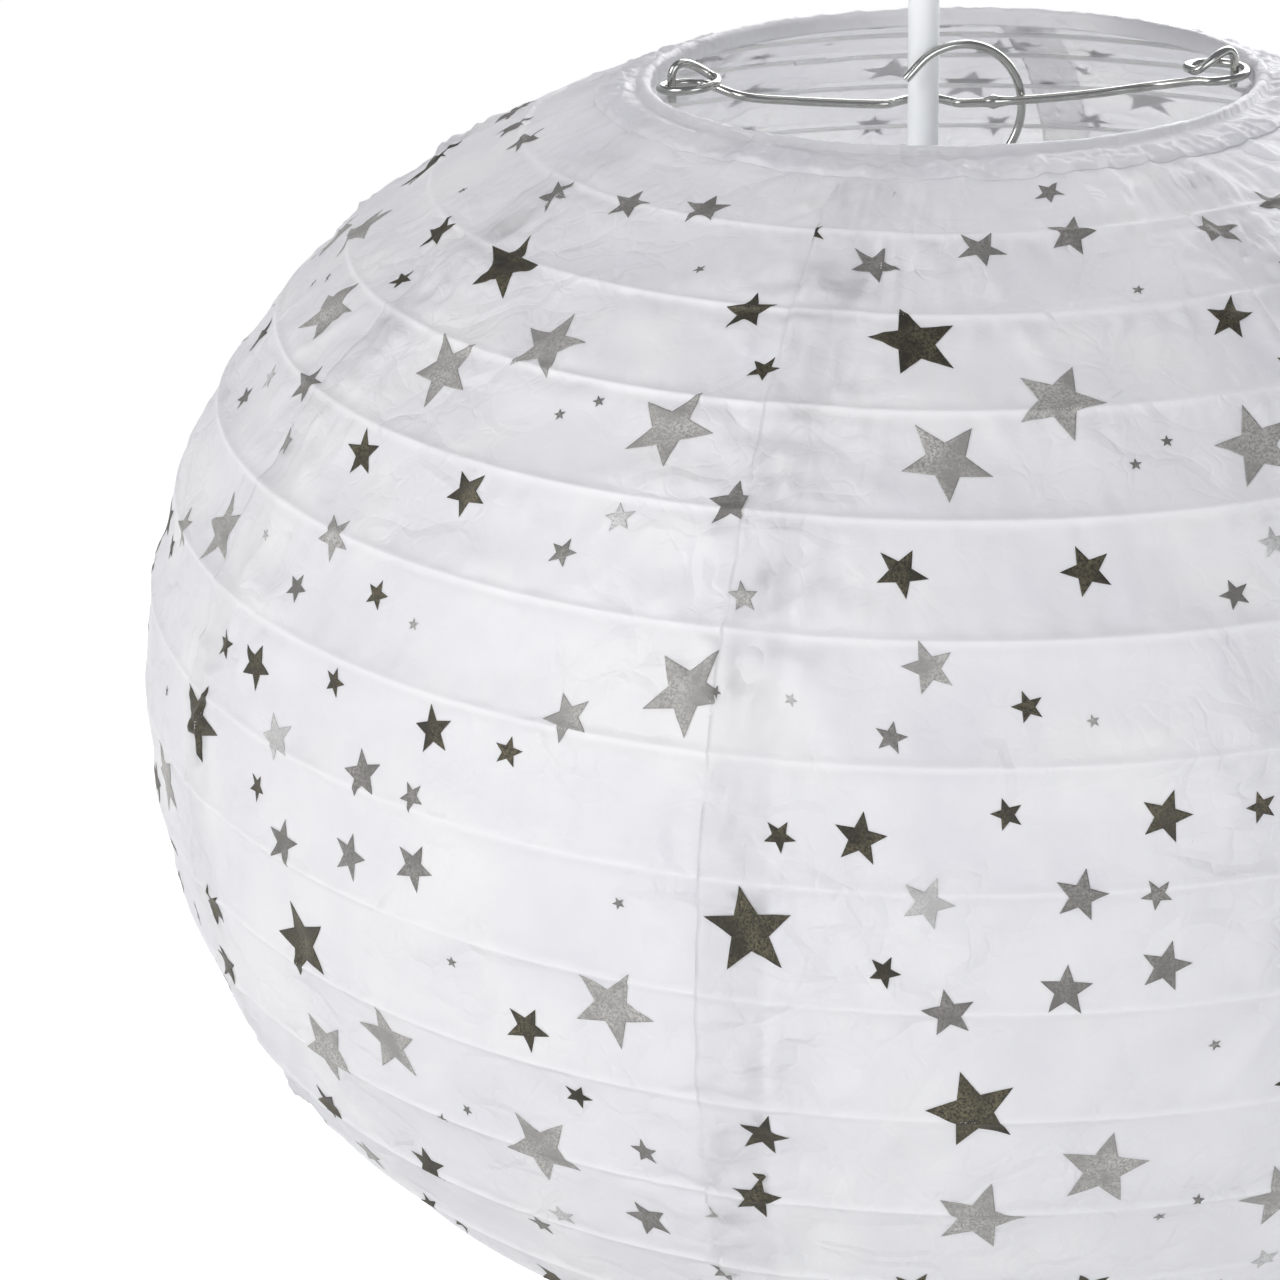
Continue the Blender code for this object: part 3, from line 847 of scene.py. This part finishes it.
def make_stars(gore, stars, finishes):
    """All the foil of one gore, cut off at the gore's edges as the paper is."""
    name = f"foil_stars_{gore.number}"
    draw = np.random.default_rng(100 + gore.number)
    shift_across, shift_along = draw.uniform(-PRINT_DRIFT, PRINT_DRIFT, 2)
    limit = gore.along[0]
    points, faces, kinds, start = [], [], [], 0
    for repeat in range(-1, 3):
        for size, tone, x, y in stars:
            for column in (-1, 0, 1):
                across = x - PRINT_REPEAT / 2 + column * PRINT_REPEAT + shift_across
                along = PRINT_TOP + shift_along - y - repeat * PRINT_REPEAT
                reach = STAR_SIZES[size]
                turn = draw.random() * 2 * math.pi
                if abs(along) > limit - HEM_WIDTH - reach:
                    continue
                radius = float(on_outline(np.array(along))[0])
                half = float(gore.half_angle(np.array(along))) * radius
                if abs(across) > half + reach * 0.5:
                    continue
                flat, patch = star_patch(size, turn)
                place = gore.on_paper(across + flat[:, 0], along + flat[:, 1], FOIL_PROUD)
                a, b, c = (place[patch[:, i]] for i in range(3))
                area = np.linalg.norm(np.cross(b - a, c - a), axis=1)
                patch = patch[area > 1e-9]
                if not len(patch):
                    continue
                points.append(place)
                faces.append(patch + start)
                kinds.append(np.full(len(patch), STAR_TONES.index(tone)))
                start += len(place)
    mesh = bpy.data.meshes.new(name)
    mesh.from_pydata(np.concatenate(points).tolist(), [], np.concatenate(faces).tolist())
    mesh.polygons.foreach_set("material_index", np.concatenate(kinds).astype(np.int32))
    shape = bmesh.new()
    shape.from_mesh(mesh)
    bmesh.ops.delete(shape, geom=[v for v in shape.verts if not v.link_faces], context="VERTS")
    for face in shape.faces:
        angle = math.atan2(face.calc_center_median().x - SHADE_X, -face.calc_center_median().y)
        outward = Vector((math.sin(angle), -math.cos(angle), 0)) * 0.5
        outward.z = face.calc_center_median().z - EQUATOR_Z
        if face.normal.dot(outward) < 0:
            face.normal_flip()
    shape.to_mesh(mesh)
    shape.free()
    mesh.shade_smooth()
    piece = add_piece(name, mesh, "wire_frame", [finishes[tone] for tone in STAR_TONES])
    give_thickness(piece, FOIL)
    fold_with_shade(piece)


# ---- wires ----


def rib_height(number):
    low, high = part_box(f"rib_{number}")
    return (low.z + high.z) / 2, (high.x - low.x) / 2 - RIB_WIRE


def make_ribs(finish):
    """Sixteen rings of thin wire. Each ring's two ends lie side by side for a short way."""
    for number in range(1, RIBS + 1):
        height, radius = rib_height(number)
        lapped = 0.008 / radius
        first = math.radians(150 + 23 * number)
        count = 240
        path = []
        for i in range(count + 1):
            share = i / count
            angle = first + share * (2 * math.pi + lapped)
            past = max(0.0, share * (2 * math.pi + lapped) - (2 * math.pi - lapped)) / lapped
            inwards = 2.1 * RIB_WIRE * min(past, 1) ** 2 * (3 - 2 * min(past, 1))
            point = around(radius - inwards, np.array(angle), np.array(height - EQUATOR_Z))
            path.append(Vector(point + SHADE_MIDDLE))
        radii = [RIB_WIRE] * len(path)
        mesh = wire_mesh(f"rib_ring_{number}", path, radii, sides=8)
        add_piece(f"rib_ring_{number}", mesh, f"rib_{number}", finish, [f"rib_{number}"])


def make_ring(name, node, body, finish):
    """A frame ring with the bead of its butt weld."""
    low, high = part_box(node)
    height = (low.z + high.z) / 2
    count = 256
    path, radii = [], []
    for i in range(count):
        angle = 2 * math.pi * i / count
        point = around(RIM_RADIUS, np.array(angle), np.array(height - EQUATOR_Z)) + SHADE_MIDDLE
        path.append(Vector(point))
        from_weld = (angle - math.pi) * RIM_RADIUS / 0.0016
        radii.append(FRAME_WIRE * (1 + 0.28 * math.exp(-(from_weld**2))))
    mesh = wire_mesh(name, path, radii, sides=12, closed=True)
    add_piece(name, mesh, body, finish, [node])


def bar_end(z_sign):
    """The end of a bar at +X: one turn of a flat loop, then an arch with its tip down through the loop."""
    rise = 0.0022
    points = []
    first = math.radians(225)
    for i in range(13):
        angle = first + 2 * math.pi * i / 12
        across = LOOP_REACH + LOOP_RADIUS * math.cos(angle)
        points.append(Vector((across, LOOP_RADIUS * math.sin(angle), rise * i / 12)))
    arch = [(-0.0018, -0.0040, 0.0016), (0.0004, -0.0026, 0.0029), (0.0022, -0.0008, 0.0031),
            (0.0034, 0, 0.0016), (0.0036, 0, -0.0015), (0.0035, 0, -0.0045)]
    points += [Vector((LOOP_REACH + x, y, rise + z)) for x, y, z in arch]
    return [Vector((p.x, p.y, z_sign * (BAR_Z + p.z))) for p in points]


def half_turn(points):
    return [Vector((-p.x, -p.y, p.z)) for p in points]


def leaned(point):
    """The top bar leans a little, down towards its left end."""
    return Vector((point.x, point.y, point.z + BAR_LEAN * (point.x - LOOP_REACH)))


def dipped(x, y=0.0):
    """A point of the top bar, whose middle is drawn down between its ends."""
    return Vector((x, y, BAR_Z - BAR_DIP * (1 - (x / LOOP_REACH) ** 2)))


def notch(centre_x):
    """The bar's bend round the back of the cord."""
    points = []
    for i in range(9):
        share = i / 4 - 1
        depth = NOTCH_DEPTH * math.cos(math.pi / 2 * share) ** 1.4 if abs(share) < 1 else 0
        points.append(dipped(centre_x + NOTCH_HALF_WIDTH * share, depth))
    return points


def top_bar_path():
    right = bar_end(1)
    left = half_turn(right)[::-1]
    before = [dipped(x) for x in (-0.042, -0.030, -0.020)]
    after = [dipped(x) for x in (0.010, 0.020, 0.031, 0.042)]
    return [leaned(p) for p in [*left, *before, *notch(-SHADE_X), *after, *right]]


def bottom_bar_path():
    right = bar_end(-1)
    left = half_turn(right)[::-1]
    middle = [Vector((x, 0, -BAR_Z)) for x in (-0.025, 0, 0.025)]
    return [*left, *middle, *right]


def hook_and_leg_path():
    """The hook's free end, over the cord, behind the bar, to the holder's shoulder and the bottom bar."""
    sideways = Vector((math.cos(HOOK_TURN), math.sin(HOOK_TURN), 0))
    up = Vector((0, 0, 1))
    points = [HOOK_CENTRE - 0.0117 * sideways + 0.0079 * up]
    for degrees in range(121, -51, -19):
        angle = math.radians(degrees)
        out = math.cos(angle) * sideways + math.sin(angle) * up
        points.append(HOOK_CENTRE + HOOK_RADIUS * out)
    holder_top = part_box("holder_cap")[1].z - EQUATOR_Z
    shoulder = holder_top + CLEARANCE + FRAME_WIRE
    bends = [(0.0076, 0.0002, 0.0036), (0.0070, -0.0006, 0.0018), (0.0083, -0.0013, 0.0003),
             (0.0115, -0.0017, 0), (LEG_X - 0.006, -0.0020, 0), (LEG_X - 0.0012, LEG_Y, -0.0018),
             (LEG_X, LEG_Y, -0.007)]
    points += [Vector((x, y, shoulder + z)) for x, y, z in bends]
    for share in (0.25, 0.5, 0.75, 1):
        low = -BAR_Z - FRAME_WIRE
        points.append(Vector((LEG_X, LEG_Y, (shoulder - 0.007) * (1 - share) + low * share)))
    return points


def make_frame_wire(node, name, points, welds, finish):
    """One bent wire of the frame. Welds are the places where a bead thickens it."""
    middle = Vector(SHADE_MIDDLE)
    path = [p + middle for p in smooth_path(points, 8)]
    radii = []
    for i, point in enumerate(path):
        swell = 0.0
        for weld in welds:
            from_weld = (point - middle - weld).length / 0.0015
            lumps = 1 + 0.3 * math.sin(i * 2.4)
            swell += 0.6 * lumps * math.exp(-(from_weld**2))
        radii.append(FRAME_WIRE * (1 + swell))
    radii[0] = radii[-1] = FRAME_WIRE * 0.93
    mesh = wire_mesh(name, path, radii)
    add_piece(name, mesh, "wire_frame", finish, [node])


def make_wires(finishes):
    make_ribs(finishes["rib_wire"])
    steel = finishes["frame_wire"]
    make_ring("upper_ring_wire", "top_ring", "wire_frame", steel)
    make_ring("lower_ring_wire", "bottom_ring", "lower_ring", steel)
    bar_weld = leaned(dipped(0.0092))
    foot_weld = Vector((LEG_X, LEG_Y, -BAR_Z))
    make_frame_wire("top_bar", "top_bar_wire", top_bar_path(), [bar_weld], steel)
    make_frame_wire("bottom_bar", "bottom_bar_wire", bottom_bar_path(), [], steel)
    make_frame_wire("hook_and_leg", "hook_wire", hook_and_leg_path(), [foot_weld], steel)


# ---- lamp holder and rose ----


def turned_piece(name, profile, body, node, finish, segments=96, flutes=None):
    mesh = turned_mesh(name, profile, segments, flutes)
    return add_piece(name, mesh, body, finish, [node])


def make_holder(finishes):
    """The lamp holder's mouldings and its screw shell, turned about the cord's axis."""
    white = finishes["white"]
    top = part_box("holder_cap")[1].z
    radius = (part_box("holder_cap")[1].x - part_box("holder_cap")[0].x) / 2
    bore = (CORD_HIGH.x - CORD_LOW.x) / 2 + CLEARANCE
    grip_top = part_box("holder_cord_grip")[1].z
    grip = [(0, top + CLEARANCE), (0.0065, top + CLEARANCE), (0.0065, top + 0.0035),
            (0.0058, top + 0.0045), (0.0052, grip_top), (0, grip_top)]
    flutes = (12, 0.0004, 0.006)
    profile = rounded(grip, 0.0004)
    turned_piece("cord_grip_nut", profile, "lamp_holder", "holder_cord_grip", white, 96, flutes)
    cap = [(bore, top), (radius - 0.003, top), (radius, top - 0.004), (radius, top - 0.018),
           (radius - 0.002, top - 0.018), (radius - 0.002, top - 0.004), (bore, top - 0.003)]
    flutes = (24, 0.0005, radius - 0.0006)
    profile = rounded(cap, 0.0011)
    turned_piece("holder_dome", profile, "lamp_holder", "holder_cap", white, 192, flutes)
    seat = top - 0.018 - CLEARANCE
    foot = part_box("holder_skirt")[0].z
    ridges = []
    for k in range(8):
        level = seat - 0.004 - 0.0032 * k
        ridges += [(radius - 0.0008, level), (radius, level - 0.0008), (radius, level - 0.0014),
                   (radius - 0.0008, level - 0.0022)]
    skirt = [(radius, seat), (radius, seat - 0.003), *ridges, (radius - 0.0004, foot),
             (radius - 0.002, foot), (radius - 0.002, seat)]
    profile = rounded(skirt, 0.0004, 3)
    turned_piece("holder_barrel", profile, "lamp_holder", "holder_skirt", white)
    low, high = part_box("holder_screw_shell")
    outer = high.x
    shell = [(outer - 0.001, high.z), (outer, high.z)]
    turns = 9
    pitch = (high.z - low.z) / turns
    wave = []
    for k in range(turns * 8 + 1):
        level = high.z - pitch * k / 8
        wave.append((outer - 0.0004 + 0.0004 * math.cos(2 * math.pi * k / 8), level))
    shell = [Vector(p) for p in wave] + [Vector((x - 0.0005, z)) for x, z in wave[::-1]]
    mesh = turned_mesh("brass_screw_shell", shell)
    add_piece(
        "brass_screw_shell", mesh, "lamp_holder", finishes["brass"],
        ["holder_screw_shell"],
    )


def make_rose(finishes):
    """The ceiling rose's cover and cord grip. Returns the grip."""
    white = finishes["white"]
    low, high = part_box("rose_cover")
    radius = (high.x - low.x) / 2
    bore = (CORD_HIGH.x - CORD_LOW.x) / 2 + CLEARANCE
    depth = -low.z
    grip_low, grip_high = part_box("rose_cord_grip")
    grip = [(0, grip_high.z), (0.0070, grip_high.z), (0.0070, -depth - 0.0035),
            (0.0062, -depth - 0.0045), (0.0055, grip_low.z), (0, grip_low.z)]
    flutes = (12, 0.0004, 0.0065)
    profile = rounded(grip, 0.0004)
    nut = turned_piece("rose_grip_nut", profile, "ceiling_fitting", "rose_cord_grip", white, 96, flutes)
    wall = 0.0015
    outer = [(bore, -depth), (0.010, -depth), (0.0155, -depth + 0.0012), (0.021, -depth + 0.004),
             (0.031, -depth + 0.012), (radius - 0.0012, -depth + 0.021), (radius, -depth + 0.0245),
             (radius, -0.0062), (radius - 0.0006, -0.0058), (radius - 0.0006, -0.0050),
             (radius, -0.0046), (radius, high.z)]
    inner = [(radius - wall, high.z), (radius - wall, -depth + 0.0245), (0.0298, -depth + 0.0133),
             (0.0204, -depth + 0.0057), (0.010, -depth + wall), (bore, -depth + wall)]
    profile = rounded([*outer, *inner], 0.0012)
    turned_piece("rose_shell", profile, "ceiling_fitting", "rose_cover", white, 128)
    return nut


def paint_kept_nodes(finishes):
    """Better finishes on the CAD nodes that stay in view as they are."""
    kept = {
        "holder_contact_block": "grey_moulding",
        "terminal_block": "grey_moulding",
        "ceiling_plate": "grey_moulding",
        "plate_screw_1": "frame_wire",
        "plate_screw_2": "frame_wire",
    }
    for node, finish in kept.items():
        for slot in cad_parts[node].material_slots:
            slot.material = finishes[finish]


# ---- studio ----


FLOOR_DROP = 0.9  # below the lantern
FLOOR_HALF = 60
# The floor's glow fades in a pool under the lantern: a painted shadow.
SHADOW_POOL_CENTRE = (0, -0.35, 0)
SHADOW_POOL_EDGE = (1.05, 1.57)  # where the floor's dim pool ends, as it brightens outwards
FLOOR_GLOW = 1.02
HORIZON_LIGHT = (0.34, 0.34, 0.35, 1)
OVERHEAD_LIGHT = (0.25, 0.25, 0.28, 1)
# For each softbox: its place, side, power and colour.
SOFTBOXES = {
    "left_softbox": ((-1.45, -1.0, 1.0), 1.2, 24.5, (1.0, 0.99, 0.985)),
    "front_softbox": ((0.9, -1.9, 0.45), 1.2, 12, (0.97, 0.98, 1.0)),
    "back_softbox": ((0.7, 1.9, 0.5), 1.8, 54, (1.0, 1.0, 1.0)),
}


def area_light(name, place, target, side, power, colour):
    data = bpy.data.lights.new(name, "AREA")
    data.shape = "SQUARE"
    data.size = side
    data.energy = power
    data.color = colour
    light = bpy.data.objects.new(name, data)
    light.location = place
    light.rotation_euler = (Vector(target) - Vector(place)).to_track_quat("-Z", "Y").to_euler()
    bpy.context.scene.collection.objects.link(light)


def make_studio():
    """A white floor far below the lantern that glows, dim in a pool under it as a painted shadow, and three
    softboxes.
    """
    scene = bpy.context.scene
    scene.view_settings.view_transform = "Standard"
    floor_mesh = bpy.data.meshes.new("floor")
    shape = bmesh.new()
    bmesh.ops.create_grid(shape, x_segments=4, y_segments=4, size=FLOOR_HALF)
    shape.to_mesh(floor_mesh)
    shape.free()
    finish = Finish("floor_white")
    tone = finish.colours(finish.noise(1.5, 2), (0.76, 0.76, 0.76), (0.78, 0.78, 0.78))
    away = finish.node("ShaderNodeVectorMath", operation="DISTANCE")
    finish.feed(away.inputs[0], finish.place)
    away.inputs[1].default_value = SHADOW_POOL_CENTRE
    # The floor's own glow, with the painted shadow of the dim pool under the lantern.
    painted_shadow_glow = finish.spread(away.outputs["Value"], *SHADOW_POOL_EDGE, 0.0, FLOOR_GLOW)
    finish.set(base_color=tone, roughness=0.9, emission_color=tone, emission_strength=painted_shadow_glow)
    floor_mesh.materials.append(finish.material)
    floor = bpy.data.objects.new("floor", floor_mesh)
    floor.location = (0, 0, cad_low.z - FLOOR_DROP)
    scene.collection.objects.link(floor)

    world = bpy.data.worlds.new("studio")
    scene.world = world
    world.use_nodes = True
    tree = world.node_tree
    back = tree.nodes["Background"]
    direction = tree.nodes.new("ShaderNodeTexCoord")
    split = tree.nodes.new("ShaderNodeSeparateXYZ")
    ramp = tree.nodes.new("ShaderNodeValToRGB")
    tree.links.new(direction.outputs["Generated"], split.inputs[0])
    tree.links.new(split.outputs["Z"], ramp.inputs["Fac"])
    tree.links.new(ramp.outputs["Color"], back.inputs["Color"])
    ramp.color_ramp.elements[0].position = 0.0
    ramp.color_ramp.elements[0].color = HORIZON_LIGHT
    ramp.color_ramp.elements[1].position = 0.75
    ramp.color_ramp.elements[1].color = OVERHEAD_LIGHT
    back.inputs["Strength"].default_value = 1.0

    middle = (SHADE_X, 0, EQUATOR_Z)
    for name, (place, side, power, colour) in SOFTBOXES.items():
        area_light(name, place, middle, side, power, colour)


# ---- everything ----

make_camera()
finishes = make_finishes()
flex = make_cord(finishes["cord"])
rose_grip = make_rose(finishes)
make_holder(finishes)
make_wires(finishes)
printed = scatter_stars()
for gore_number in range(1, GORES + 1):
    strip = Gore(gore_number)
    make_gore(strip, finishes["paper"])
    make_stars(strip, printed, finishes)
make_hem("upper_hem_fold", 1, "wire_frame", "top_hem", finishes["hem"])
make_hem("lower_hem_fold", -1, "lower_ring", "bottom_hem", finishes["hem"])
paint_kept_nodes(finishes)
make_studio()
